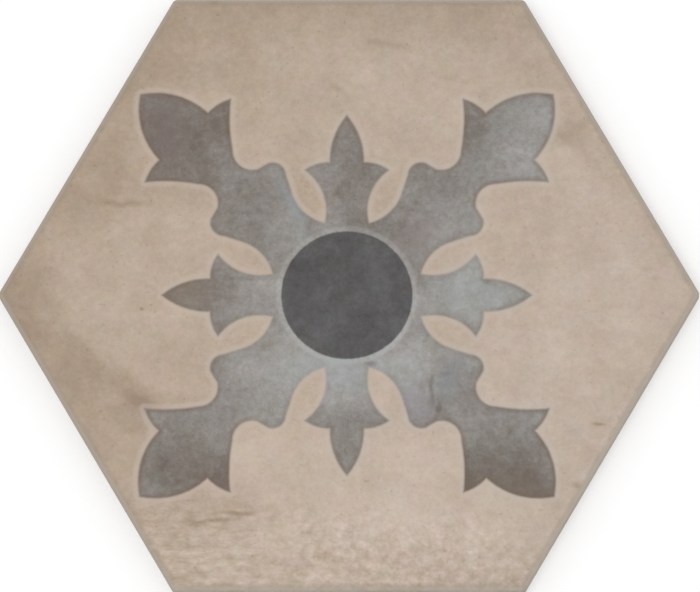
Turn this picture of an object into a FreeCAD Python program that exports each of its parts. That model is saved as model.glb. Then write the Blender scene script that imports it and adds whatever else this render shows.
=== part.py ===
import FreeCAD, Part

import math
import os

# Hexagonal floor tile, pressed and fired in one piece
# The origin is the middle of the plane that the tile lies on, two of its
# points lie on the X axis, and the wear face looks up along +Z.
# Lengths are in millimetres and angles in degrees.

# Body
across_flats = 216.5  # measured on the land, between two opposite edges
thickness = 9.0  # from the plane of the ribs to the wear face
corner_radius = 2.0  # upright rounding of the six points
arris_radius = 0.8  # rounded edge of the wear face
land_height = 3.5  # upright band below the arris, which faces the grout joint
draft_angle = 6.0  # lean of the wall from the land inwards to the back
foot_chamfer = 0.5  # broken edge around the back

# Keyed back: a honeycomb of shallow pockets that the adhesive grips
cell_rings = 7  # rings of pockets around the middle one
rim_width = 6.0  # plain band between the foot chamfer and the nearest pockets
rib_width = 1.8  # at the foot of a rib, between two pockets
pocket_depth = 0.8
pocket_draft_angle = 25.0  # lean of a pocket's walls from the pressing direction

# A regular hexagon's half width across its points for a half width across
# its flats of one, and the turn from one corner to the next
POINT_PER_FLAT = 1.0 / math.cos(math.radians(30.0))
SIXTH_TURN = 60.0

# Worked out from the sizes above
land_foot = thickness - arris_radius - land_height
draft_inset = (land_foot - foot_chamfer) * math.tan(math.radians(draft_angle))
back_across_flats = across_flats - 2.0 * draft_inset
foot_across_flats = back_across_flats - 2.0 * foot_chamfer

# The pockets of the outermost ring end at the rim. Their rows are 0.866 of
# the pitch apart, and a pocket reaches 0.577 of its width past its row.
keyed_half_height = foot_across_flats / 2.0 - rim_width
row_per_pitch = math.sin(math.radians(SIXTH_TURN))
reach_per_width = 1.0 / math.sqrt(3.0)
cell_pitch = (keyed_half_height + rib_width * reach_per_width) / (
    cell_rings * row_per_pitch + reach_per_width
)
pocket_mouth = cell_pitch - rib_width
pocket_floor = pocket_mouth - 2.0 * pocket_depth * math.tan(
    math.radians(pocket_draft_angle)
)


def polar(radius, angle, height):
    """The point at a distance from the Z axis and an angle from +X."""
    turn = math.radians(angle)
    return FreeCAD.Vector(radius * math.cos(turn), radius * math.sin(turn), height)


def rounded_hexagon(flats, radius, height):
    """A closed hexagon with rounded corners, two of them on the X axis."""
    corner_centre = flats / 2.0 * POINT_PER_FLAT - radius * POINT_PER_FLAT
    edges = []
    previous_end = None
    for corner in range(7):
        angle = corner * SIXTH_TURN
        centre = polar(corner_centre, angle, height)
        start = centre + polar(radius, angle - SIXTH_TURN / 2.0, 0.0)
        middle = centre + polar(radius, angle, 0.0)
        end = centre + polar(radius, angle + SIXTH_TURN / 2.0, 0.0)
        if previous_end is not None:
            edges.append(Part.LineSegment(previous_end, start).toShape())
            edges.append(Part.Arc(start, middle, end).toShape())
        previous_end = end
    return Part.Wire(edges)


def hexagonal_cell(flats, height):
    """A closed sharp hexagon with two flats square to the X axis."""
    corner_distance = flats / 2.0 * POINT_PER_FLAT
    corners = [
        polar(corner_distance, (corner + 0.5) * SIXTH_TURN, height)
        for corner in range(6)
    ]
    return Part.makePolygon(corners + corners[:1])


def edges_at(shape, height):
    """The edges of a shape that lie wholly at one height."""
    slack = 1e-4
    return [
        edge
        for edge in shape.Edges
        if abs(edge.BoundBox.ZMin - height) < slack
        and abs(edge.BoundBox.ZMax - height) < slack
    ]


def pressed_body():
    """The tile without its keyed back: an upright land over a drafted foot."""
    foot_outline = rounded_hexagon(foot_across_flats, corner_radius, 0.0)
    back_outline = rounded_hexagon(back_across_flats, corner_radius, foot_chamfer)
    land_outline = rounded_hexagon(across_flats, corner_radius, land_foot)
    foot = Part.makeLoft([foot_outline, back_outline, land_outline], True, True)
    rise = FreeCAD.Vector(0.0, 0.0, thickness - land_foot)
    land = Part.Face(land_outline).extrude(rise)
    land = land.makeFillet(arris_radius, edges_at(land, thickness))
    return foot.fuse(land)


def cell_centres():
    """The pockets' centres, in rows that run parallel to the tile's edges."""
    along = polar(cell_pitch, 0.0, 0.0)
    across = polar(cell_pitch, SIXTH_TURN, 0.0)
    centres = []
    for row in range(-cell_rings, cell_rings + 1):
        first = max(-cell_rings, -cell_rings - row)
        last = min(cell_rings, cell_rings - row)
        for step in range(first, last + 1):
            centres.append(along * step + across * row)
    return centres


def honeycomb():
    """All the pockets' hollows, each narrower at its floor than at its mouth."""
    mouth = hexagonal_cell(pocket_mouth, 0.0)
    floor = hexagonal_cell(pocket_floor, pocket_depth)
    pocket = Part.makeLoft([mouth, floor], True, True)
    hollows = []
    for centre in cell_centres():
        hollow = pocket.copy()
        hollow.translate(centre)
        hollows.append(hollow)
    return Part.makeCompound(hollows)


def floor_tile():
    """The whole tile, as one solid."""
    return pressed_body().cut(honeycomb()).Solids[0]


tile = floor_tile()
os.makedirs("parts", exist_ok=True)
tile.exportStep("parts/floor_tile.step")
print(
    "floor_tile",
    "valid" if tile.isValid() else "NOT VALID",
    f"{tile.BoundBox.XLength:.2f} x {tile.BoundBox.YLength:.2f} x {tile.BoundBox.ZLength:.2f} mm,",
    f"{tile.Volume / 1000.0:.1f} cm3, {len(tile.Faces)} faces,",
    f"{len(cell_centres())} pockets at {cell_pitch:.2f} mm",
)
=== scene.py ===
import logging
import math
from dataclasses import dataclass
from enum import Enum
from typing import Any, Mapping, Sequence

import bmesh
import bpy
import numpy as np
from bmesh.types import BMEdge, BMesh, BMVert
from mathutils import Matrix, Vector, noise


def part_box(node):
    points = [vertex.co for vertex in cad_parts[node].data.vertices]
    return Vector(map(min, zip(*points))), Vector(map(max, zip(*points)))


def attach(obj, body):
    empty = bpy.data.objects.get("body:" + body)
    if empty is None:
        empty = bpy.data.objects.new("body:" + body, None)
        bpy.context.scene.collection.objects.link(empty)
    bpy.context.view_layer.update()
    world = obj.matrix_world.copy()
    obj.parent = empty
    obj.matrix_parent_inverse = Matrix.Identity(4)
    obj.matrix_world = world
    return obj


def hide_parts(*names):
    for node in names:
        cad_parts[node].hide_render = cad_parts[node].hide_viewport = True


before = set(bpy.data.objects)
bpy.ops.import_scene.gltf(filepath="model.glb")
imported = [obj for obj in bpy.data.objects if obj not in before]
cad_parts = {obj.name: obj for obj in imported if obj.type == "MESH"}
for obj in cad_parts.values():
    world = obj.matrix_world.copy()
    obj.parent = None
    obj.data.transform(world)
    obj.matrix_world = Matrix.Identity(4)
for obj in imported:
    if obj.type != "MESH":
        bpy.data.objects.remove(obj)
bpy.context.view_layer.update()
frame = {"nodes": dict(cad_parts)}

MM = 0.001
SIXTH_TURN = math.radians(60.0)
NODE = "floor_tile"
BODY = "root"
ORNAMENT_LAYER = "ornament_edge"
NOISE_SEAT = (0.31, 0.47, 0.63)
NOISE_STEP = (3.7, 5.3, 2.9)
PATCH_RIM = 1.25
TOUCH = 0.01 * MM
WHITE = (1.0, 1.0, 1.0, 1.0)

log = logging.getLogger("hexagon_floor_tile")

Triple = tuple[float, float, float]
Tint = tuple[float, float, float, float]
Grain = float | tuple[float, float]


def tint(*srgb: int) -> Tint:
    """Turns a colour's sRGB bytes into the linear light that shaders work in.

    Args:
        srgb: its red, green and blue bytes.

    Returns:
        The colour, opaque.
    """
    shares = [byte / 255.0 for byte in srgb]
    linear = [s / 12.92 if s <= 0.04045 else ((s + 0.055) / 1.055) ** 2.4 for s in shares]
    return (*linear, 1.0)


# Shader sheets


@dataclass(frozen=True)
class Skin:
    """How a finish takes the light: its gloss, and the share and the metres of its relief."""

    gloss: float
    relief: float
    depth: float


class Channel:
    """An output of a sheet's node, whose arithmetic adds Math nodes."""

    def __init__(self, sheet: "NodeSheet", node: bpy.types.Node, output: int | str = 0) -> None:
        """Wraps one output.

        Args:
            sheet: the node's sheet.
            node: the node.
            output: the output's place or name.
        """
        self.sheet = sheet
        self.node = node
        self.output = output

    def read(self, output: int | str) -> "Channel":
        """Another output of the same node."""
        return Channel(self.sheet, self.node, output)

    def _math(self, operation: str, first: "Value", second: "Value" = 0.0) -> "Channel":
        """The result of a Math node on two values."""
        return self.sheet.add("Math", {"operation": operation}, {0: first, 1: second})

    def __add__(self, other: "Value") -> "Channel":
        """self + other."""
        return self._math("ADD", self, other)

    __radd__ = __add__

    def __sub__(self, other: "Value") -> "Channel":
        """self - other."""
        return self._math("SUBTRACT", self, other)

    def __rsub__(self, other: "Value") -> "Channel":
        """other - self."""
        return self._math("SUBTRACT", other, self)

    def __mul__(self, other: "Value") -> "Channel":
        """self * other."""
        return self._math("MULTIPLY", self, other)

    __rmul__ = __mul__

    def __abs__(self) -> "Channel":
        """The distance from zero."""
        return self._math("ABSOLUTE", self)

    def most(self, other: "Value") -> "Channel":
        """The larger of self and other."""
        return self._math("MAXIMUM", self, other)


Value = Channel | float | Sequence[float]


class NodeSheet:
    """The node tree of one material or world, and the few ways in which it is written."""

    def __init__(self, owner: bpy.types.Material | bpy.types.World) -> None:
        """Clears a tree to write on.

        Args:
            owner: the material or world that has it.
        """
        owner.use_nodes = True
        self.tree = owner.node_tree
        self.tree.nodes.clear()
        self.seats = 0

    def add(
        self,
        kind: str,
        settings: Mapping[str, Any] | None = None,
        sockets: Mapping[int | str, Value] | None = None,
    ) -> Channel:
        """Adds one node.

        Args:
            kind: the node's type, without the ShaderNode that it starts with.
            settings: its properties, with a ramp's stops under the key stops.
            sockets: its inputs, each a channel to link or a value to set.

        Returns:
            Its first output.
        """
        node = self.tree.nodes.new("ShaderNode" + kind)
        for name, setting in (settings or {}).items():
            if name == "stops":
                self._set_stops(node.color_ramp, setting)
            else:
                setattr(node, name, setting)
        for name, value in (sockets or {}).items():
            if isinstance(value, Channel):
                self.tree.links.new(value.node.outputs[value.output], node.inputs[name])
            else:
                node.inputs[name].default_value = value
        return Channel(self, node)

    @staticmethod
    def _set_stops(ramp: bpy.types.ColorRamp, stops: Sequence[tuple[float, Tint]]) -> None:
        """Gives a ramp its stops.

        Args:
            ramp: the ramp.
            stops: the place and colour of each, from first to last.
        """
        while len(ramp.elements) < len(stops):
            ramp.elements.new(1.0)
        for element, (position, colour) in zip(ramp.elements, stops):
            element.position = position
            element.color = colour

    def vector(self, operation: str, *values: Value) -> Channel:
        """The result of a Vector Math node on its first inputs."""
        return self.add("VectorMath", {"operation": operation}, dict(enumerate(values)))

    def length(self, place: Channel) -> Channel:
        """The length of a vector."""
        return self.vector("LENGTH", place).read("Value")

    def millimetres(self) -> Channel:
        """The place on the tile, in its own millimetres."""
        place = self.add("TexCoord").read("Object")
        return self.add("VectorMath", {"operation": "SCALE"}, {0: place, "Scale": 1.0 / MM})

    def _noise(self, place: Channel, grain: Grain, detail: float, roughness: float) -> Channel:
        """Adds fractal noise, seated where its cells meet no other noise's and no axis of the tile.

        Args:
            place: where it is read, in millimetres.
            grain: the size of its largest blotches, or their sizes along X and along Y.
            detail: how many times it is halved.
            roughness: how much of its strength each halving keeps.

        Returns:
            The noise.
        """
        self.seats += 1
        seat = tuple(start + step * self.seats for start, step in zip(NOISE_SEAT, NOISE_STEP))
        along, across = grain if isinstance(grain, tuple) else (grain, grain)
        fineness = (1.0 / along, 1.0 / across, 1.0 / across)
        spot = self.vector("MULTIPLY_ADD", place, fineness, seat)
        sockets = {"Vector": spot, "Scale": 1.0, "Detail": detail, "Roughness": roughness}
        return self.add("TexNoise", {"noise_dimensions": "3D"}, sockets)

    def cloud(self, place: Channel, grain: Grain, detail: float, roughness: float = 0.5) -> Channel:
        """Noise that swings by less than one half to either side of zero."""
        return self._noise(place, grain, detail, roughness).read("Fac") - 0.5

    def sway(
        self, value: Value, place: Channel, grain: float, detail: float, reach: Triple, roughness: float = 0.5
    ) -> Channel:
        """Moves a place or a colour about by noise, each of its numbers on its own.

        Args:
            value: the place or colour.
            place: where the noise is read, in millimetres.
            grain: the size of its largest blotches.
            detail: how many times it is halved.
            reach: twice the most that it moves each number.
            roughness: how much of its strength each halving keeps.

        Returns:
            The moved place or colour.
        """
        swirl = self._noise(place, grain, detail, roughness).read("Color")
        offset = self.vector("SUBTRACT", swirl, (0.5, 0.5, 0.5))
        return self.vector("MULTIPLY_ADD", offset, reach, value)

    def ramp(self, value: Channel, stops: Sequence[tuple[float, Tint]]) -> Channel:
        """The colour that a ramp gives for a value."""
        return self.add("ValToRGB", {"stops": stops}, {0: value})

    def blend(self, share: Value, under: Value, over: Value) -> Channel:
        """One colour, covered by a share of another."""
        return self.add("Mix", {"data_type": "RGBA"}, {0: share, 6: under, 7: over}).read(2)

    def surface(self, skin: Skin, colour: Channel, roughness: Channel, height: Channel) -> None:
        """Ends a material's sheet with its shader.

        Args:
            skin: how the finish takes the light.
            colour: its colour.
            roughness: its roughness.
            height: its relief, by less than about one to either side of zero.
        """
        relief = {"Strength": skin.relief, "Distance": skin.depth, "Height": height}
        sockets = {
            "Base Color": colour,
            "Roughness": roughness,
            "Specular IOR Level": skin.gloss,
            "Normal": self.add("Bump", {}, relief),
        }
        shader = self.add("BsdfPrincipled", {}, sockets)
        self.add("OutputMaterial", {}, {"Surface": shader})


@dataclass(frozen=True)
class Fade:
    """A share that grows smoothly, from nothing at start to its strength at full."""

    start: float
    full: float
    strength: float = 1.0

    def over(self, value: Channel) -> Channel:
        """The share at a value."""
        ends = {"From Min": self.start, "From Max": self.full, "To Max": self.strength}
        settings = {"interpolation_type": "SMOOTHSTEP", "clamp": False}
        return value.sheet.add("MapRange", settings, {"Value": value} | ends)


# The ornament


@dataclass(frozen=True)
class Stroke:
    """A compass stroke of the ornament's outline, drawn on from the last stroke's end.

    across and along place its end, in millimetres from the ornament's middle. rise is how far
    the middle of the stroke stands off its chord: out of the ornament if positive, into it if
    negative, and zero for a straight stroke.
    """

    across: float
    along: float
    rise: float


@dataclass(frozen=True)
class Ornament:
    """The printed cross of four leaves and four buds round a disc.

    The whole figure is an eighth of it, mirrored three times. The eighth runs from the tip of a
    bud, which points along +Y, round to the tip of the leaf on the diagonal. Sizes are in
    millimetres.
    """

    middle: tuple[float, float] = (-0.82, -0.45)
    bud_tip: float = 66.05
    strokes: tuple[Stroke, ...] = (
        Stroke(6.1, 48.8, 1.7),  # side of the bud
        Stroke(15.1, 45.9, 0.8),  # brow of the small arm's shoulder
        Stroke(7.9, 26.5, -3.2),  # inside of the shoulder, down to the point of the gap
        Stroke(19.6, 37.6, -2.2),  # far side of the gap
        Stroke(21.7, 44.0, 0.0),
        Stroke(28.1, 48.5, 2.0),  # lobe of the large arm
        Stroke(31.9, 46.2, 0.0),
        Stroke(40.7, 53.2, -2.8),  # hollow under the leaf
        Stroke(41.4, 72.1, -0.7),  # inside of the spur
        Stroke(49.6, 67.0, 0.7),  # outside of the spur, down to the notch
        Stroke(73.75, 73.75, 3.1),  # edge of the leaf
    )
    disc_radius: float = 23.4
    pen_step: float = 0.9

    def _draw(self, start: np.ndarray, stroke: Stroke) -> np.ndarray:
        """The points of one stroke, without its start.

        Args:
            start: where the last stroke ended.
            stroke: the stroke to draw.

        Returns:
            Its points, a pen step apart.
        """
        end = np.array([stroke.across, stroke.along])
        chord = float(np.hypot(*(end - start)))
        steps = max(1, math.ceil(chord / self.pen_step))
        shares = np.arange(1, steps + 1)[:, None] / steps
        if stroke.rise == 0.0:
            return start + (end - start) * shares
        ahead = (end - start) / chord
        outward = np.array([-ahead[1], ahead[0]])
        half_turn = 2.0 * math.atan(2.0 * stroke.rise / chord)
        radius = chord / (2.0 * math.sin(half_turn))
        turns = half_turn * (2.0 * shares - 1.0)
        forward = radius * (math.sin(half_turn) + np.sin(turns))
        sideways = radius * (np.cos(turns) - math.cos(half_turn))
        return start + ahead * forward + outward * sideways

    def eighth(self) -> np.ndarray:
        """Draws the outline of one eighth.

        Returns:
            Its closely spaced points, from bud tip to leaf tip.
        """
        points = [np.array([0.0, self.bud_tip])]
        for stroke in self.strokes:
            points.extend(self._draw(points[-1], stroke))
        return np.array(points)

    def depth(self, places: np.ndarray) -> np.ndarray:
        """How far places lie inside the ornament.

        Args:
            places: rows of x and y in millimetres from the tile's middle.

        Returns:
            The distance of each from the outline, negative outside the ornament.
        """
        folded = np.abs(places - np.array(self.middle))
        folded.sort(axis=1)
        outline = self.eighth()
        first, last = outline[:-1], outline[1:]
        run = last - first
        run_squared = (run**2).sum(axis=1)
        rim = np.vstack([[0.0, 0.0], outline, [0.0, 0.0]])
        rise_from, rise_to = rim[:-1], rim[1:]
        sideways = rise_to[:, 0] - rise_from[:, 0]
        result = np.empty(len(folded))
        block = 2048
        for begin in range(0, len(folded), block):
            spot = folded[begin : begin + block, None, :]
            share = np.clip(((spot - first) * run).sum(axis=2) / run_squared, 0.0, 1.0)
            gap = np.hypot(*np.moveaxis(spot - first - share[:, :, None] * run, 2, 0)).min(axis=1)
            across, along = spot[:, :, 0], spot[:, :, 1]
            straddles = (rise_from[:, 1] > along) != (rise_to[:, 1] > along)
            height = np.where(straddles, rise_to[:, 1] - rise_from[:, 1], 1.0)
            crossing = rise_from[:, 0] + (along - rise_from[:, 1]) / height * sideways
            inside = (straddles & (across < crossing)).sum(axis=1) % 2 == 1
            result[begin : begin + block] = np.where(inside, gap, -gap)
        return result


# Finishes


@dataclass(frozen=True)
class Patch:
    """A soft patch of the print that is lighter or darker than what is round it.

    east and north place its middle from the tile's, and length and width are its half sizes, all
    in millimetres. strength is what it adds to the tone at its middle, and turn is in degrees.
    """

    name: str
    east: float
    north: float
    length: float
    width: float
    strength: float
    turn: float = 0.0

    def shade(self, place: Channel) -> Channel:
        """Fades from the patch's strength at its middle to nothing.

        Args:
            place: where it is read, in millimetres on the face.

        Returns:
            What the patch adds to the tone.
        """
        sheet = place.sheet
        middle = (self.east, self.north, 0.0)
        turned = sheet.add(
            "VectorRotate",
            {"rotation_type": "Z_AXIS", "label": self.name},
            {"Vector": place, "Center": middle, "Angle": -math.radians(self.turn)},
        )
        offset = sheet.vector("SUBTRACT", turned, middle)
        share = sheet.vector("DIVIDE", offset, (self.length, self.width, 1.0))
        return Fade(PATCH_RIM, 0.0, self.strength).over(sheet.length(share))


def patches(*rows: tuple[Any, ...]) -> tuple[Patch, ...]:
    """Patches from rows of their fields."""
    return tuple(Patch(*row) for row in rows)


FIELD_SMEARS = patches(
    ("top left corner", -52, 96, 34, 15, -0.09),
    ("left of top", -80, 78, 16, 12, -0.04, 60),
    ("above upper left leaf", -58, 82, 30, 12, -0.08),
    ("top edge", 30, 102, 60, 9, -0.04),
    ("top middle", 16, 80, 38, 16, 0.05),
    ("upper right", 34, 64, 30, 20, 0.06),
    ("beside upper arm", -17, 44, 18, 16, -0.07),
    ("upper right corner", 82, 82, 26, 16, 0.12, -60),
    ("right flank above", 96, 28, 40, 22, 0.07, -60),
    ("left flank above", -88.5, 38.5, 25, 13, -0.21, 53),
    ("under upper left leaf", -65, 39, 18, 8, -0.08),
    ("inside left", -94, -4, 24, 18, 0.02),
    ("left point", -116, -1, 14, 22, -0.25),
    ("below left point", -112, -15, 9, 6, -0.16, -60),
    ("left flank", -99, -30, 20, 12, -0.2, -60),
    ("left smear", -82, -32, 26, 8, -0.26, -38),
    ("left flank below", -85, -49, 28, 13, -0.14, -57),
    ("above lower left leaf", -62, -27, 17, 13, -0.09),
    ("bottom left", -48, -81, 22, 13, -0.2),
    ("left of lower bud", -33, -56, 16, 14, 0.1),
    ("right of lower bud", 29, -58, 18, 18, 0.08),
    ("bottom edge", -22, -107, 65, 8, 0.13),
    ("bottom middle", 25, -84, 46, 19, 0.08),
    ("bottom right", 60, -92, 16, 12, -0.06),
    ("right side", 90, -24, 30, 48, 0.04),
    ("right point", 119, 0, 12, 12, 0.12),
)

FIELD_MARKS = patches(
    ("top streak", 14, 91.7, 12, 1.8, -0.14, -8),
    ("slanting streak", -5, 76.2, 9, 1.8, -0.12, -35),
    ("smudge by leaf", 78, 58, 10, 5, -0.2, 25),
    ("smudge below it", 86, 49.2, 9, 3, -0.12, -50),
    ("flank streak", -79, 33.2, 10, 1.5, -0.22),
    ("pale streak by point", -110.5, -5.8, 2.6, 8, 0.12, 10),
    ("left smear core", -74, -39.6, 10, 2.8, -0.22, -32),
    ("beside lower left spur", -75, -45, 14, 9, -0.24, -20),
    ("over lower left spur", -62, -39.5, 12, 5, -0.14),
    ("left smear head", -93, -21.8, 11, 3.6, -0.12, -45),
    ("short streak", -40, -80, 10, 1.3, -0.34, 3),
    ("short streak below", -50, -82.8, 12, 1.2, -0.28, 3),
    ("short streak left", -36, -86.8, 9, 1, -0.16, 4),
    ("lower right dash", 88.8, -47.8, 3.2, 0.8, -0.4),
    ("lower right spot", 81, -69.8, 2.4, 2, -0.28),
    ("speck on left", -73.8, -5.4, 0.9, 0.8, -0.5),
    ("pale gap under disc", 12, -34, 6, 10, 0.2),
    # painted light: lifts the lower right rim, whose arris faces away from the sun
    ("painted light on lower right rim", 92.8, -53.6, 62, 3.4, 0.14, 60),
)

ORNAMENT_SMEARS = patches(
    ("upper left leaf", -63, 58.5, 27, 28, -0.4),
    ("upper left leaf's spur", -45, 67, 8, 12, -0.22),
    ("upper left arm", -34, 29, 16, 18, -0.18),
    ("upper left arm's root", -22, 27, 9, 13, 0.18, -30),
    ("upper right leaf tip", 68, 62, 18, 20, 0.2),
    ("upper right leaf's hollow", 65, 44, 19, 10, 0.2),
    ("upper right leaf's spur", 42, 64, 9, 15, -0.2),
    ("upper right lobe", 26, 42, 14, 12, -0.12),
    ("inside of upper right arm", 17, 25, 14, 12, -0.25),
    ("upper right arm's root", 45, 27, 14, 12, 0.12),
    ("upper bud", -1, 52, 16, 24, -0.19),
    ("lower left leaf", -60, -64, 28, 18, -0.28),
    ("neck of lower left leaf", -60, -47, 14, 8, -0.12),
    ("lower left leaf's spur", -43, -64, 10, 14, -0.2),
    ("lower right leaf", 58, -67, 29, 20, -0.31),
    ("lower right leaf's spur", 44, -63, 9, 14, -0.3),
    ("lower bud", -1, -57, 14, 14, -0.1),
    ("left bud", -60, 0.5, 20, 12, -0.28),
    ("left arm's shoulders", -44, -4, 8, 22, -0.1),
    ("left arm's root", -30, 2, 12, 14, 0.12),
    ("right arm", 50, 0, 22, 15, 0.34),
    ("right arm's root", 28, -1, 12, 10, 0.14),
    ("right arm's upper shoulder", 42, 9, 9, 7, 0.14),
    ("between left arm and disc", -29, 13, 9, 9, 0.07),
    ("foot of lower arm", -4, -30, 20, 14, 0.36),
    ("lower left arm", -26, -27, 23, 19, 0.26, 45),
    ("neck of lower left leaf's arm", -44, -45, 12, 9, 0.08),
    ("lower left lobe", -29, -43, 10, 8, 0.14),
    ("lower right arm", 20, -26, 16, 18, 0.36),
    ("lower right lobe", 40, -22, 10, 10, 0.1),
)

ORNAMENT_MARKS = patches(
    ("hairline", 29.5, -34.8, 1.2, 8, -0.4, 4),
    ("hairline's foot", 31.5, -41.8, 1.3, 5, -0.34, -12),
    ("hairline's head", 33.5, -29.3, 5, 1.1, -0.25),
    ("dark head of upper arm", 4, 26.2, 9, 6, -0.2),
    ("dark edge by upper gap", 12, 28.2, 3, 8, -0.16, 25),
    ("dash under disc", 8, -25.6, 2.8, 1.1, -0.5),
    ("streak in left arm", -36, 5.7, 9, 1.2, -0.2),
    ("streak in right arm", 50, 4.2, 9, 1.2, -0.14, -20),
)

DISC_SMEARS = patches(
    ("lower right of disc", 9, -14, 12, 9, -0.18),
    ("right of disc", 19, -1, 7, 9, -0.18),
    ("lower left of disc", -15, -13, 9, 9, -0.08),
    ("upper right of disc", 9, 11, 9, 9, 0.1),
)


@dataclass(frozen=True)
class Stain:
    """A patch of the ornament that leans towards another colour, as far as its strength."""

    shape: Patch
    colour: Tint


STAINS = (
    Stain(Patch("lilac in lower right lobe", 24, -39, 8, 9, 0.55), tint(150, 145, 151)),
    Stain(Patch("slate beside it", 35, -32, 6, 8, 0.5), tint(126, 131, 137)),
    Stain(Patch("blue by upper left gap", -19, 32, 5, 14, 0.45, 25), tint(140, 152, 157)),
    Stain(Patch("blue in lower arm's foot", -2, -28, 34, 10, 0.35), tint(156, 162, 163)),
    Stain(Patch("green in right arm", 44, 0, 20, 10, 0.3), tint(154, 163, 159)),
    Stain(Patch("plum in upper left leaf", -65, 62, 9, 18, 0.4), tint(126, 112, 110)),
    Stain(Patch("plum above disc", 24, 20, 10, 8, 0.35), tint(150, 138, 136)),
    Stain(Patch("brown in left bud", -60, 0, 12, 9, 0.5), tint(134, 120, 104)),
    Stain(Patch("brown in lower right leaf", 60, -72, 24, 9, 0.5, -10), tint(114, 98, 86)),
)


@dataclass(frozen=True)
class PrintGround:
    """What the printed colours read at a place of the face. Lengths are in millimetres."""

    face: Channel
    smeared: Channel
    wavered: Channel
    east: Channel
    north: Channel
    from_edge: Channel
    from_disc: Channel
    clouds: Channel
    mottle: Channel
    grain: Channel
    brushing: Channel

    def cloudy(self, length: Channel, reach: float) -> Channel:
        """A length that the clouds change by less than half a reach."""
        return length + self.clouds * reach

    def ragged(self, length: Channel, reach: float) -> Channel:
        """A length that the grain changes by less than half a reach."""
        return length + self.grain * reach

    def ragged_edge(self) -> Channel:
        """How far the edge is, made ragged by grain and mottle, for the worn arris and the painted edge
        shade.
        """
        return self.ragged(self.from_edge, reach=1.0) + self.mottle


@dataclass(frozen=True)
class Glaze:
    """A printed glaze: its tints, from the darkest to the lightest, and what makes its tone.

    tints are in sRGB bytes. rest is the tone where nothing moves it, from 0 at the darkest tint to
    1 at the lightest, and clouds, mottle and grain are how strongly those noises move it. Of its
    patches, smears lie on the smeared print, and marks keep their place.
    """

    tints: tuple[tuple[int, int, int], ...]
    rest: float
    clouds: float
    mottle: float
    grain: float
    smears: tuple[Patch, ...]
    marks: tuple[Patch, ...] = ()

    def tone(self, ground: PrintGround) -> Channel:
        """Adds up the tone.

        Args:
            ground: what the tone reads.

        Returns:
            The tone, without what this glaze alone has.
        """
        noises = ground.clouds * self.clouds + ground.mottle * self.mottle + ground.grain * self.grain
        smears = sum(patch.shade(ground.smeared) for patch in self.smears)
        marks = sum(patch.shade(ground.wavered) for patch in self.marks)
        return self.rest + noises + smears + marks

    def colour(self, tone: Channel) -> Channel:
        """The colour at a tone."""
        last = len(self.tints) - 1
        return tone.sheet.ramp(tone, [(step / last, tint(*srgb)) for step, srgb in enumerate(self.tints)])


FIELD_GLAZE = Glaze(
    tints=((154, 136, 118), (170, 152, 134), (186, 169, 153), (201, 185, 171), (216, 202, 190)),
    rest=0.51,
    clouds=0.15,
    mottle=0.75,
    grain=0.3,
    smears=FIELD_SMEARS,
    marks=FIELD_MARKS,
)
ORNAMENT_GLAZE = Glaze(
    tints=((110, 100, 93), (124, 117, 110), (140, 135, 130), (155, 152, 148), (170, 170, 167)),
    rest=0.5,
    clouds=0.15,
    mottle=1.1,
    grain=0.78,
    smears=ORNAMENT_SMEARS,
    marks=ORNAMENT_MARKS,
)
DISC_GLAZE = Glaze(
    tints=((64, 62, 60), (76, 74, 73), (87, 85, 85), (99, 98, 98), (111, 111, 112)),
    rest=0.5,
    clouds=0.5,
    mottle=1.4,
    grain=0.5,
    smears=DISC_SMEARS,
)


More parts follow.
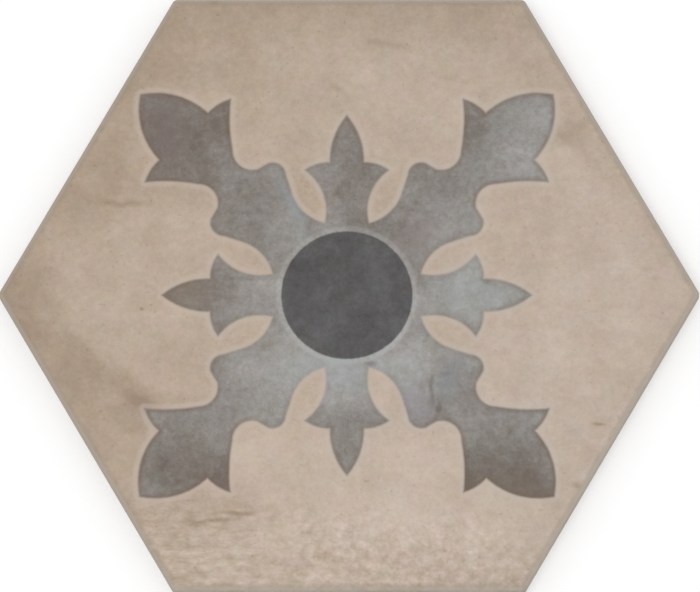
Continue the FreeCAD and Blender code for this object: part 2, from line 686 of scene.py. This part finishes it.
@dataclass(frozen=True)
class PrintedGlaze:
    """The matt printed face: a cement-coloured field, a grey ornament and a dark disc.

    Its fades run over millimetres: in from the edge, out from the disc, in from the outline, or
    to the east or north. Only the pinholes' runs over a noise. The lean is in tone to the
    millimetre, east and north.
    """

    ornament: Ornament
    half_flats: float
    name: str = "printed_matt_glaze"
    skin: Skin = Skin(gloss=0.2, relief=0.5, depth=0.05 * MM)
    lean: tuple[float, float] = (0.0004, -0.0009)
    by_edge: Fade = Fade(20.0, 0.0, -0.12)
    in_gaps: Fade = Fade(32.6, 16.6, -0.07)
    pinholes: Fade = Fade(0.27, 0.33, -0.16)
    coarse: Fade = Fade(-62.0, -92.0)
    coarse_fall: float = 0.2
    dashed: Fade = Fade(-12.0, -42.0)
    dash_strength: float = 0.95
    blot_loss: float = 0.7
    pale_ring: Fade = Fade(2.5, 1.1, 0.22)
    brushing: float = 0.38
    in_outline: Fade = Fade(-0.6, 0.6)
    in_disc: Fade = Fade(0.4, -0.4)
    inner_line: Fade = Fade(2.4, 0.4)
    inner_share: float = 0.12
    by_leaves: Fade = Fade(14.6, 54.6, 0.35)
    outer_line: Fade = Fade(-2.5, -1.2, 0.42)
    rightwards: Fade = Fade(-90.0, 110.0)
    # painted shade: a darker band from 3.2 to 1.4 mm in from the edge, standing in for the rounded arris's
    # shade
    painted_edge_shade: Fade = Fade(3.2, 1.4, 0.36)
    worn: Fade = Fade(1.5, 0.8, 0.5)
    worn_arris: Tint = tint(174, 165, 153)
    # colour of the painted shade inside the arris
    painted_edge_shade_tint: Tint = tint(144, 134, 123)
    pale_line: Tint = tint(193, 181, 171)
    brown_line: Tint = tint(112, 92, 76)
    left_cast: Tint = (1.012, 1.0, 0.99, 1.0)
    right_cast: Tint = (0.992, 1.0, 1.012, 1.0)
    hue_swing: Triple = (0.12, 0.07, 0.15)

    def _ground(self, place: Channel) -> PrintGround:
        """Lays out what the printed colours share.

        Args:
            place: the place on the tile, in millimetres.

        Returns:
            The ground's channels.
        """
        sheet = place.sheet
        face = sheet.vector("MULTIPLY", place, (1.0, 1.0, 0.0))
        smeared = sheet.sway(face, face, grain=22.0, detail=3.0, reach=(16.0, 16.0, 0.0))
        axes = sheet.add("SeparateXYZ", {}, {0: face})
        east, north = axes.read("X"), axes.read("Y")
        slanted = abs(east) * math.sin(SIXTH_TURN) + abs(north) * math.cos(SIXTH_TURN)
        from_middle = sheet.vector("SUBTRACT", face, (*self.ornament.middle, 0.0))
        return PrintGround(
            face=face,
            smeared=smeared,
            wavered=sheet.sway(face, face, grain=7.0, detail=1.0, reach=(2.5, 2.5, 0.0)),
            east=east,
            north=north,
            from_edge=self.half_flats / MM - slanted.most(abs(north)),
            from_disc=sheet.length(from_middle) - self.ornament.disc_radius,
            clouds=sheet.cloud(smeared, grain=38.0, detail=3.0, roughness=0.55),
            mottle=sheet.cloud(face, grain=14.0, detail=5.0, roughness=0.92),
            grain=sheet.cloud(face, grain=3.4, detail=4.0, roughness=0.88),
            brushing=sheet.cloud(smeared, grain=(12.0, 26.0), detail=3.0, roughness=0.6),
        )

    def _field(self, ground: PrintGround) -> Channel:
        """Glazes the field: cement with clouds and smears, and coarse marks along the bottom.

        Args:
            ground: what the colour reads.

        Returns:
            The colour.
        """
        sheet = ground.face.sheet
        height = ground.north + ground.east.most(0.0) * self.coarse_fall
        coarse = self.coarse.over(ground.cloudy(height, reach=30.0))
        dashes = sheet.cloud(ground.face, grain=(6.0, 2.4), detail=2.0, roughness=0.8)
        pinholes = self.pinholes.over(sheet.cloud(ground.face, grain=1.5, detail=0.0))
        blots = sheet.cloud(ground.face, grain=(3.4, 2.9), detail=2.0, roughness=0.7)
        dashed = self.dashed.over(ground.cloudy(ground.east, reach=30.0))
        marks = blots + (dashes * self.dash_strength - blots * self.blot_loss) * dashed
        lean = ground.east * self.lean[0] + ground.north * self.lean[1]
        by_edge = self.by_edge.over(ground.cloudy(ground.from_edge, reach=14.0))
        shades = lean + by_edge + pinholes + self.in_gaps.over(ground.from_disc)
        return FIELD_GLAZE.colour(FIELD_GLAZE.tone(ground) + marks * coarse + shades)

    def _ornament(self, ground: PrintGround) -> Channel:
        """Glazes the ornament: brushed grey, browner in its leaves and paler by the disc.

        Args:
            ground: what the colour reads.

        Returns:
            The colour.
        """
        ring = self.pale_ring.over(ground.ragged(ground.from_disc, reach=0.8))
        tone = ORNAMENT_GLAZE.tone(ground) + ground.brushing * self.brushing + ring
        colour = ORNAMENT_GLAZE.colour(tone)
        for stain in STAINS:
            colour = tone.sheet.blend(stain.shape.shade(ground.smeared), colour, stain.colour)
        return colour

    def _colour(self, ground: PrintGround, worn: Channel) -> Channel:
        """Puts the printed colours together.

        Args:
            ground: what the colours read.
            worn: how worn the glaze is, on the arris.

        Returns:
            The face's colour.
        """
        sheet = ground.face.sheet
        stored = sheet.add("Attribute", {"attribute_name": ORNAMENT_LAYER})
        depth = ground.ragged(stored.read("Fac"), reach=0.45)
        by_leaves = self.by_leaves.over(ground.cloudy(ground.from_disc, reach=30.0))
        inner_line = self.inner_line.over(depth) * (self.inner_share + by_leaves)
        outside = sheet.blend(self.outer_line.over(depth), self._field(ground), self.pale_line)
        inside = sheet.blend(inner_line, self._ornament(ground), self.brown_line)
        colour = sheet.blend(self.in_outline.over(depth), outside, inside)
        in_disc = self.in_disc.over(ground.ragged(ground.from_disc, reach=0.4))
        colour = sheet.blend(in_disc, colour, DISC_GLAZE.colour(DISC_GLAZE.tone(ground)))
        hue = sheet.sway(WHITE[:3], ground.face, grain=7.0, detail=3.0, reach=self.hue_swing, roughness=0.6)
        colour = sheet.vector("MULTIPLY", colour, hue)
        rightwards = self.rightwards.over(ground.cloudy(ground.east, reach=60.0))
        cast = sheet.blend(rightwards, self.left_cast, self.right_cast)
        colour = sheet.vector("MULTIPLY", colour, cast)
        # painted shade along the edge, just inside the worn arris
        colour = sheet.blend(self.painted_edge_shade.over(ground.ragged_edge()), colour, self.painted_edge_shade_tint)
        return sheet.blend(worn, colour, self.worn_arris)

    def make(self) -> bpy.types.Material:
        """Writes the material.

        Returns:
            The material.
        """
        material = bpy.data.materials.new(self.name)
        place = NodeSheet(material).millimetres()
        ground = self._ground(place)
        worn = self.worn.over(ground.ragged_edge())
        roughness = 0.6 + ground.mottle * 0.4 + ground.grain * 0.25 + worn * 0.2
        pores = place.sheet.cloud(place, grain=0.5, detail=3.0, roughness=0.6)
        height = pores * 0.5 + ground.mottle * 0.8 + ground.grain * 0.6
        place.sheet.surface(self.skin, self._colour(ground, worn), roughness, height)
        return material


@dataclass(frozen=True)
class FiredBody:
    """The bare stoneware of the tile's sides and back: dusty, speckled and rubbed on its ribs.

    Its fades on the ribs and on the wall run over millimetres up from the ribs, and the others
    over noise.
    """

    name: str = "bare_fired_body"
    skin: Skin = Skin(gloss=0.2, relief=0.7, depth=0.12 * MM)
    clay: Tint = tint(180, 170, 157)
    dark_clay: Tint = tint(163, 153, 140)
    kiln_wash: Tint = tint(212, 208, 200)
    iron_speck: Tint = tint(112, 95, 80)
    paler: Fade = Fade(-0.3, 0.25)
    washed: Fade = Fade(-0.04, 0.12, 0.7)
    specks: Fade = Fade(0.24, 0.32, 0.6)
    on_ribs: Fade = Fade(0.28, 0.02)
    on_wall: Fade = Fade(0.9, 1.8)
    drag_stretch: Triple = (1.0, 1.0, 0.08)

    def make(self) -> bpy.types.Material:
        """Writes the material.

        Returns:
            The material.
        """
        material = bpy.data.materials.new(self.name)
        sheet = NodeSheet(material)
        place = sheet.millimetres()
        patches = sheet.cloud(place, grain=30.0, detail=3.0, roughness=0.6)
        grit = sheet.cloud(place, grain=1.2, detail=4.0, roughness=0.7)
        specks = self.specks.over(sheet.cloud(place, grain=1.6, detail=1.0, roughness=0.4))
        height = sheet.add("SeparateXYZ", {}, {0: place}).read("Z")
        washed = self.washed.over(patches + grit * 0.5) * self.on_ribs.over(height + grit * 0.3)
        upright = sheet.vector("MULTIPLY", place, self.drag_stretch)
        drag = sheet.cloud(upright, grain=0.9, detail=3.0, roughness=0.65) * self.on_wall.over(height)
        paler = self.paler.over(patches + grit * 0.6 + drag * 0.7)
        colour = sheet.blend(paler, self.dark_clay, self.clay)
        colour = sheet.blend(washed, colour, self.kiln_wash)
        colour = sheet.blend(specks, colour, self.iron_speck)
        sheet.surface(self.skin, colour, 0.82 + grit * 0.2, grit + patches * 0.5 + drag * 1.2)
        return material


# The tile


class TileFinish(Enum):
    """The tile's material slots, by their place in its list."""

    PRINTED = 0
    BARE = 1


@dataclass(frozen=True)
class ProfileStep:
    """A level of the side: how far its line stands out from the face's rim, and its height."""

    reach: float
    height: float
    wear: float = 0.0
    sharp: bool = False


@dataclass
class FloorTile:
    """The pressed tile: a printed face, a worn arris, an upright land, a drafted foot and a keyed back.

    Sizes are in metres. The flats and the thickness come from the frame, and faces below the flat
    height are shaded flat.
    """

    half_flats: float
    thickness: float
    ornament: Ornament = Ornament()
    corner_radius: float = 2.05 * MM
    arris_radius: float = 0.8 * MM
    arris_steps: int = 5
    land_height: float = 3.5 * MM
    draft: float = math.radians(6.0)
    foot_chamfer: float = 0.5 * MM
    cell_rings: int = 7
    rim_width: float = 6.0 * MM
    rib_width: float = 1.8 * MM
    pocket_depth: float = 0.8 * MM
    pocket_draft: float = math.radians(25.0)
    pocket_edge: float = 0.18 * MM
    flat_height: float = 0.96 * MM
    face_cells: int = 48
    finest_edge: float = 0.22 * MM
    finest_rounds: int = 6
    outline_reach: float = 0.75
    rim_edge: float = 0.8 * MM
    print_slack: float = 0.03 * MM
    edge_wear: float = 0.07 * MM
    wear_size: float = 9.0 * MM
    chip_depth: float = 0.3 * MM
    chip_size: float = 2.6 * MM
    chip_rarity: float = 0.42
    chip_slope: float = 3.0
    sag: float = 0.05 * MM
    sag_size: float = 45.0 * MM
    sag_rim: float = 20.0 * MM

    @property
    def face_half_flats(self) -> float:
        """Half the flat face's width across its flats, inside the arris."""
        return self.half_flats - self.arris_radius

    @property
    def face_radius(self) -> float:
        """How far the flat face's sharp corners would stand from the middle."""
        return self.face_half_flats / math.cos(SIXTH_TURN / 2.0)

    def _lay_face(self, bm: BMesh) -> None:
        """Lays the flat face as a net of even triangles with sharp corners.

        Args:
            bm: the empty mesh.
        """
        turned = Matrix.Rotation(SIXTH_TURN / 2.0, 4, "Z")
        place = Matrix.Translation((0.0, 0.0, self.thickness)) @ turned
        bmesh.ops.create_circle(
            bm, cap_ends=True, cap_tris=True, segments=6, radius=self.face_radius, matrix=place
        )
        bmesh.ops.subdivide_edges(bm, edges=bm.edges[:], cuts=self.face_cells - 1, use_grid_fill=True)

    def _coarse_edges(self, bm: BMesh) -> list[BMEdge]:
        """Picks the face's edges that are too long to carry the print's outline, the rim or a corner.

        Args:
            bm: the flat face.

        Returns:
            The edges to split.
        """
        bm.verts.index_update()
        places = np.array([[*vertex.co.xy] for vertex in bm.verts])
        ends = np.array([[vertex.index for vertex in edge.verts] for edge in bm.edges])
        lengths = np.hypot(*(places[ends[:, 1]] - places[ends[:, 0]]).T)
        middles = places[ends].mean(axis=1)
        depths = self.ornament.depth(places / MM)[ends] * MM
        middle = self.ornament.depth(middles / MM) * MM
        near = np.abs(middle) < self.outline_reach * lengths
        crooked = np.abs(middle - depths.mean(axis=1)) > self.print_slack
        turns = (np.arange(6) * SIXTH_TURN)[:, None]
        corners = self.face_radius * np.hstack([np.cos(turns), np.sin(turns)])
        from_corner = np.hypot(*np.moveaxis(middles[:, None] - corners, 2, 0)).min(axis=1)
        on_rim = np.array([edge.is_boundary for edge in bm.edges])
        wanted = (near & crooked) | (from_corner < lengths) | (on_rim & (lengths > self.rim_edge))
        wanted &= lengths > self.finest_edge
        return [edge for edge, long in zip(bm.edges, wanted) if long]

    def _refine_face(self, bm: BMesh) -> None:
        """Splits the net's triangles until they carry the print and the rim.

        Args:
            bm: the flat face.
        """
        for _ in range(self.finest_rounds):
            coarse = self._coarse_edges(bm)
            bmesh.ops.subdivide_edges(bm, edges=coarse, cuts=1, use_single_edge=True)
            crowded = [face for face in bm.faces if len(face.verts) > 3]
            bmesh.ops.triangulate(bm, faces=crowded)

    def _outward(self, place: Vector) -> tuple[Vector, Vector]:
        """Rounds the corner that a point of the face's sharp rim may lie on.

        Args:
            place: the point.

        Returns:
            Its place on the rounded rim, and the way out of the tile there.
        """
        corner_turn = round(math.atan2(place.y, place.x) / SIXTH_TURN) * SIXTH_TURN
        corner_way = Vector((math.cos(corner_turn), math.sin(corner_turn), 0.0))
        level = Vector((0.0, 0.0, place.z))
        from_corner = (place - level) - corner_way * self.face_radius
        side = math.copysign(1.0, corner_way.x * from_corner.y - corner_way.y * from_corner.x)
        radius = self.corner_radius - self.arris_radius
        tangent_length = radius * math.tan(SIXTH_TURN / 2.0)
        share = min(from_corner.length / tangent_length, 1.0)
        turn = corner_turn + side * share * SIXTH_TURN / 2.0
        outward = Vector((math.cos(turn), math.sin(turn), 0.0))
        if share == 1.0:
            return place, outward
        centre = corner_way * (self.face_radius - radius / math.cos(SIXTH_TURN / 2.0))
        return centre + outward * radius + level, outward

    def _profile(self) -> list[ProfileStep]:
        """Works out the levels of the side.

        Returns:
            The levels, from below the face down to the plane of the ribs.
        """
        levels = []
        for step in range(1, self.arris_steps + 1):
            turn = math.pi / 2.0 * step / self.arris_steps
            reach = self.arris_radius * math.sin(turn)
            drop = self.arris_radius * (1.0 - math.cos(turn))
            levels.append(ProfileStep(reach, self.thickness - drop, math.sin(2.0 * turn)))
        land_foot = self.thickness - self.arris_radius - self.land_height
        draft_inset = (land_foot - self.foot_chamfer) * math.tan(self.draft)
        back_reach = self.arris_radius - draft_inset
        levels.append(ProfileStep(self.arris_radius, land_foot, sharp=True))
        levels.append(ProfileStep(back_reach, self.foot_chamfer, sharp=True))
        levels.append(ProfileStep(back_reach - self.foot_chamfer, 0.0, sharp=True))
        return levels

    def _wear(self, place: Vector) -> float:
        """How deep the arris is rubbed or chipped.

        Args:
            place: a point of the rim.

        Returns:
            The depth there.
        """
        rub = 0.5 + 0.5 * noise.noise(place / self.wear_size)
        nick = max(0.0, noise.noise(place / self.chip_size) - self.chip_rarity)
        return self.edge_wear * rub + min(self.chip_depth, nick * self.chip_slope * self.chip_depth)

    def _draw_side(self, bm: BMesh) -> None:
        """Draws the side down from the face's rim, level by level.

        Args:
            bm: the refined face.
        """
        rim = [edge for edge in bm.edges if edge.is_boundary]
        stations = {}
        for vertex in {v for edge in rim for v in edge.verts}:
            rounded, outward = self._outward(vertex.co.copy())
            vertex.co = rounded
            stations[vertex] = (rounded, outward, self._wear(rounded))
        for level in self._profile():
            made = bmesh.ops.extrude_edge_only(bm, edges=rim)["geom"]
            lower = {}
            for vertex in (item for item in made if isinstance(item, BMVert)):
                neighbours = (edge.other_vert(vertex) for edge in vertex.link_edges)
                above = next(other for other in neighbours if other in stations)
                base, outward, wear = stations[above]
                worn = wear * level.wear
                vertex.co = base + outward * (level.reach - worn)
                vertex.co.z = level.height - worn
                lower[vertex] = stations[above]
            rim = [item for item in made if isinstance(item, BMEdge)]
            stations = lower
            for edge in rim:
                edge.smooth = not level.sharp

    def _cell_centres(self, pitch: float) -> list[Vector]:
        """Seats the pockets in rows that run parallel to the tile's edges.

        Args:
            pitch: how far apart they are.

        Returns:
            Their centres.
        """
        along = Vector((pitch, 0.0, 0.0))
        across = Matrix.Rotation(SIXTH_TURN, 3, "Z") @ along
        rings = self.cell_rings
        return [
            along * step + across * row
            for row in range(-rings, rings + 1)
            for step in range(max(-rings, -rings - row), min(rings, rings - row) + 1)
        ]

    def _press_back(self, bm: BMesh) -> None:
        """Closes the face and side with a honeycomb back.

        Args:
            bm: the face and side.
        """
        lowest = self._profile()[-1]
        keyed_half_height = self.face_half_flats + lowest.reach - self.rim_width
        row_per_pitch = math.sin(SIXTH_TURN)
        reach_per_width = 1.0 / math.sqrt(3.0)
        pitch = (keyed_half_height + self.rib_width * reach_per_width) / (
            self.cell_rings * row_per_pitch + reach_per_width
        )
        cell_reach = pitch * reach_per_width
        before = set(bm.faces)
        for centre in self._cell_centres(pitch):
            place = Matrix.Translation(centre)
            bmesh.ops.create_circle(bm, cap_ends=True, segments=6, radius=cell_reach, matrix=place)
        cells = [face for face in bm.faces if face not in before]
        corners = [vertex for face in cells for vertex in face.verts]
        bmesh.ops.remove_doubles(bm, verts=corners, dist=TOUCH)
        for face in cells:
            if face.normal.z > 0.0:
                face.normal_flip()
        bmesh.ops.inset_individual(bm, faces=cells, thickness=self.rib_width / 2.0)
        mouths = [edge for face in cells for edge in face.edges]
        taper = self.pocket_depth * math.tan(self.pocket_draft)
        bmesh.ops.inset_individual(bm, faces=cells, thickness=taper, depth=-self.pocket_depth)
        rims = [edge for edge in bm.edges if edge.is_boundary]
        bmesh.ops.triangle_fill(bm, use_beauty=True, edges=rims, normal=(0.0, 0.0, -1.0))
        bmesh.ops.bevel(
            bm, geom=mouths, offset=self.pocket_edge, segments=2, profile=0.5, affect="EDGES", material=-1
        )

    def _sink_face(self, bm: BMesh) -> None:
        """Lets the face dip by the few hundredths of a millimetre that firing leaves.

        Args:
            bm: the closed tile.
        """
        for vertex in bm.verts:
            inward = min(1.0, (self.face_half_flats - vertex.co.xy.length) / self.sag_rim)
            if inward > 0.0 and vertex.co.z > self.thickness - TOUCH:
                dip = 0.5 + 0.5 * noise.noise(vertex.co / self.sag_size)
                vertex.co.z -= self.sag * dip * inward

    def _store_print(self, mesh: bpy.types.Mesh) -> None:
        """Keeps each vertex's depth inside the ornament, in millimetres, for the glaze.

        Args:
            mesh: the tile's mesh.
        """
        places = np.empty(len(mesh.vertices) * 3)
        mesh.vertices.foreach_get("co", places)
        depths = self.ornament.depth(places.reshape(-1, 3)[:, :2] / MM)
        layer = mesh.attributes.new(ORNAMENT_LAYER, "FLOAT", "POINT")
        layer.data.foreach_set("value", depths.astype(np.float32))

    def build(self) -> bpy.types.Object:
        """Builds and dresses the tile.

        Returns:
            The tile's object, which stands for the frame's solid.
        """
        bm = bmesh.new()
        self._lay_face(bm)
        self._refine_face(bm)
        self._draw_side(bm)
        printed = [f for f in bm.faces if f.calc_center_median().z > self.thickness - self.arris_radius]
        self._press_back(bm)
        for face in bm.faces:
            face.material_index = TileFinish.BARE.value
            face.smooth = face.calc_center_median().z > self.flat_height
        for face in printed:
            face.material_index = TileFinish.PRINTED.value
        self._sink_face(bm)
        bmesh.ops.recalc_face_normals(bm, faces=bm.faces[:])
        mesh = bpy.data.meshes.new("hexagon_tile")
        bm.to_mesh(mesh)
        bm.free()
        self._store_print(mesh)
        mesh.materials.append(PrintedGlaze(self.ornament, self.half_flats).make())
        mesh.materials.append(FiredBody().make())
        tile = bpy.data.objects.new("hexagon_tile", mesh)
        bpy.context.scene.collection.objects.link(tile)
        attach(tile, BODY)
        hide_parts(NODE)
        return tile


# Floor, light and camera


@dataclass(frozen=True)
class Studio:
    """A white floor under even light from above, a little stronger from the upper left."""

    floor_size: float = 6.0
    floor_drop: float = 0.02 * MM
    floor_white: Tint = (0.72, 0.72, 0.72, 1.0)
    floor_lift: float = 0.31
    sky_strength: float = 0.817
    sun_strength: float = 0.6
    sun_height: float = math.radians(72.0)
    sun_turn: float = math.radians(-35.0)
    sun_width: float = math.radians(30.0)

    def _any_ray(self, sheet: NodeSheet, kinds: Sequence[str]) -> Channel:
        """Tells rays apart.

        Args:
            sheet: the nodes of a material or world.
            kinds: outputs of the Light Path node.

        Returns:
            One for a ray of any of the kinds, and zero for another.
        """
        path = sheet.add("LightPath")
        found = path.read(kinds[0])
        for kind in kinds[1:]:
            found = found.most(path.read(kind))
        return found

    def _seen(self, sheet: NodeSheet) -> Channel:
        """One for the rays that show the white ground: straight, mirrored or let through."""
        return self._any_ray(sheet, ("Is Camera Ray", "Is Glossy Ray", "Is Transmission Ray"))

    def lay_floor(self) -> bpy.types.Object:
        """Lays the floor, which keeps the tile's shadow and hides nothing from below.

        Returns:
            The floor's object.
        """
        material = bpy.data.materials.new("white_floor")
        sheet = NodeSheet(material)
        paint = sheet.add("BsdfDiffuse", {}, {"Color": self.floor_white})
        lift = sheet.add("Emission", {}, {"Strength": self._seen(sheet) * self.floor_lift})
        both = sheet.add("AddShader", {}, {0: paint, 1: lift})
        underneath = sheet.add("NewGeometry").read("Backfacing")
        open_way = underneath.most(self._any_ray(sheet, ("Is Diffuse Ray", "Is Shadow Ray")))
        glass = sheet.add("BsdfTransparent")
        mixed = sheet.add("MixShader", {}, {0: open_way, 1: both, 2: glass})
        sheet.add("OutputMaterial", {}, {"Surface": mixed})
        bm = bmesh.new()
        place = Matrix.Translation((0.0, 0.0, -self.floor_drop))
        bmesh.ops.create_grid(bm, x_segments=1, y_segments=1, size=self.floor_size / 2.0, matrix=place)
        mesh = bpy.data.meshes.new("floor")
        bm.to_mesh(mesh)
        bm.free()
        mesh.materials.append(material)
        floor = bpy.data.objects.new("floor", mesh)
        bpy.context.scene.collection.objects.link(floor)
        return floor

    def light(self) -> None:
        """Lights the scene so that a colour renders about as it is written."""
        world = bpy.data.worlds.new("even_sky")
        sheet = NodeSheet(world)
        strength = self.sky_strength + self._seen(sheet) * (1.0 - self.sky_strength)
        sky = sheet.add("Background", {}, {"Color": WHITE, "Strength": strength})
        sheet.add("OutputWorld", {}, {"Surface": sky})
        bpy.context.scene.world = world
        lamp = bpy.data.lights.new("window", "SUN")
        lamp.energy = self.sun_strength
        lamp.angle = self.sun_width
        sun = bpy.data.objects.new("window", lamp)
        sun.rotation_euler = (math.pi / 2.0 - self.sun_height, 0.0, self.sun_turn)
        bpy.context.scene.collection.objects.link(sun)


@dataclass(frozen=True)
class PhotoCamera:
    """A long lens over the tile, leaning a little towards its near edge, as in the photograph.

    aim is the point of the face that it looks at.
    """

    face_height: float
    aim: tuple[float, float] = (0.29 * MM, -0.77 * MM)
    seen_width: float = 249.4 * MM
    lean: float = math.radians(13.5)
    distance: float = 8.0
    sensor: float = 36.0

    def place(self) -> bpy.types.Object:
        """Sets up the scene's camera.

        Returns:
            The camera's object.
        """
        data = bpy.data.cameras.new("photo_camera")
        data.sensor_width = self.sensor
        data.lens = self.sensor * self.distance / self.seen_width
        data.clip_end = 2.0 * self.distance
        camera = bpy.data.objects.new("photo_camera", data)
        back = Vector((0.0, -math.sin(self.lean), math.cos(self.lean)))
        camera.location = Vector((*self.aim, self.face_height)) + back * self.distance
        camera.rotation_euler = (self.lean, 0.0, 0.0)
        bpy.context.scene.collection.objects.link(camera)
        bpy.context.scene.camera = camera
        return camera


def main() -> None:
    """Builds the tile in its studio, and reports what was made."""
    logging.basicConfig(level=logging.INFO, format="%(name)s: %(message)s")
    bpy.context.scene.view_settings.view_transform = "Standard"
    log.info("frame: %s", ", ".join(frame["nodes"]))
    low, high = (Vector(corner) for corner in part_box(NODE))
    camera = PhotoCamera(face_height=high.z).place()
    log.info("camera: %.0f mm lens at %.1f m", camera.data.lens, camera.location.length)
    studio = Studio()
    log.info("floor: %s", studio.lay_floor().name)
    studio.light()
    tile = FloorTile(half_flats=(high.y - low.y) / 2.0, thickness=high.z).build()
    log.info("%s: %d vertices, %d faces", tile.name, len(tile.data.vertices), len(tile.data.polygons))


if __name__ == "__main__":
    main()
